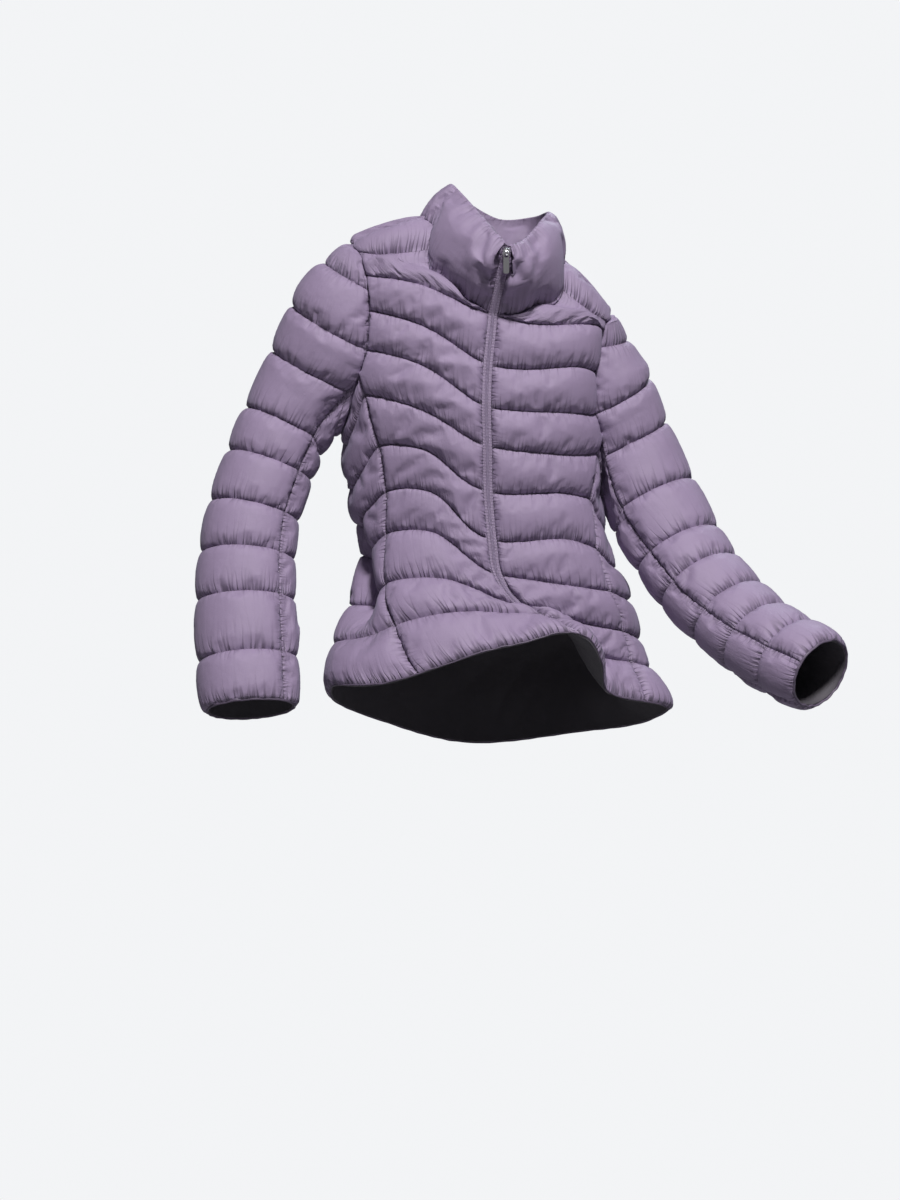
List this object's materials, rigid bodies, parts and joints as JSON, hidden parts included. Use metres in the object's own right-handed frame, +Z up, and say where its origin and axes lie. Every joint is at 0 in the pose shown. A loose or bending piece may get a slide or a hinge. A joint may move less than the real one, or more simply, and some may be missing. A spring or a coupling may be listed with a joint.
{
  "type": "puffer jacket",
  "caption": "Quilted puffer jacket with a stand collar and a front zip, filled out as if worn, with one arm hanging and one held away.",
  "frame": {"origin": "middle of the neck hole, where the wearer holds the jacket up", "axes": "+Z up; the front faces -Y; the wearer's left is +X"},
  "size_m": [0.8423, 0.3685, 0.7403],
  "materials": {
    "shell_fabric": "smooth downproof nylon with a soft sheen",
    "lining_fabric": "smooth dark lining",
    "zip_tape": "woven tape with a coil",
    "zip_metal": "bright plated metal"
  },
  "bodies": {
    "jacket": {"front_left": "shell_fabric", "front_right": "shell_fabric", "side_left": "shell_fabric", "side_right": "shell_fabric", "back": "shell_fabric", "top_sleeve_left": "shell_fabric", "top_sleeve_right": "shell_fabric", "under_sleeve_left": "shell_fabric", "under_sleeve_right": "shell_fabric", "collar": "shell_fabric", "lining_front_left": "lining_fabric", "lining_front_right": "lining_fabric", "lining_back": "lining_fabric", "lining_sleeve_left": "lining_fabric", "lining_sleeve_right": "lining_fabric", "zip_tape_left": "zip_tape", "zip_tape_right": "zip_tape", "zip_slider": "zip_metal"},
    "pull": {"zip_pull": "zip_metal"}
  },
  "joints": [
    {"name": "pull_swing", "type": "hinge", "parent": "jacket", "child": "pull", "pos_m": [0.01016, -0.11466, -0.00065], "axis": [-0.9933, 0.1156, 0], "range_deg": [-15, 125]}
  ]
}
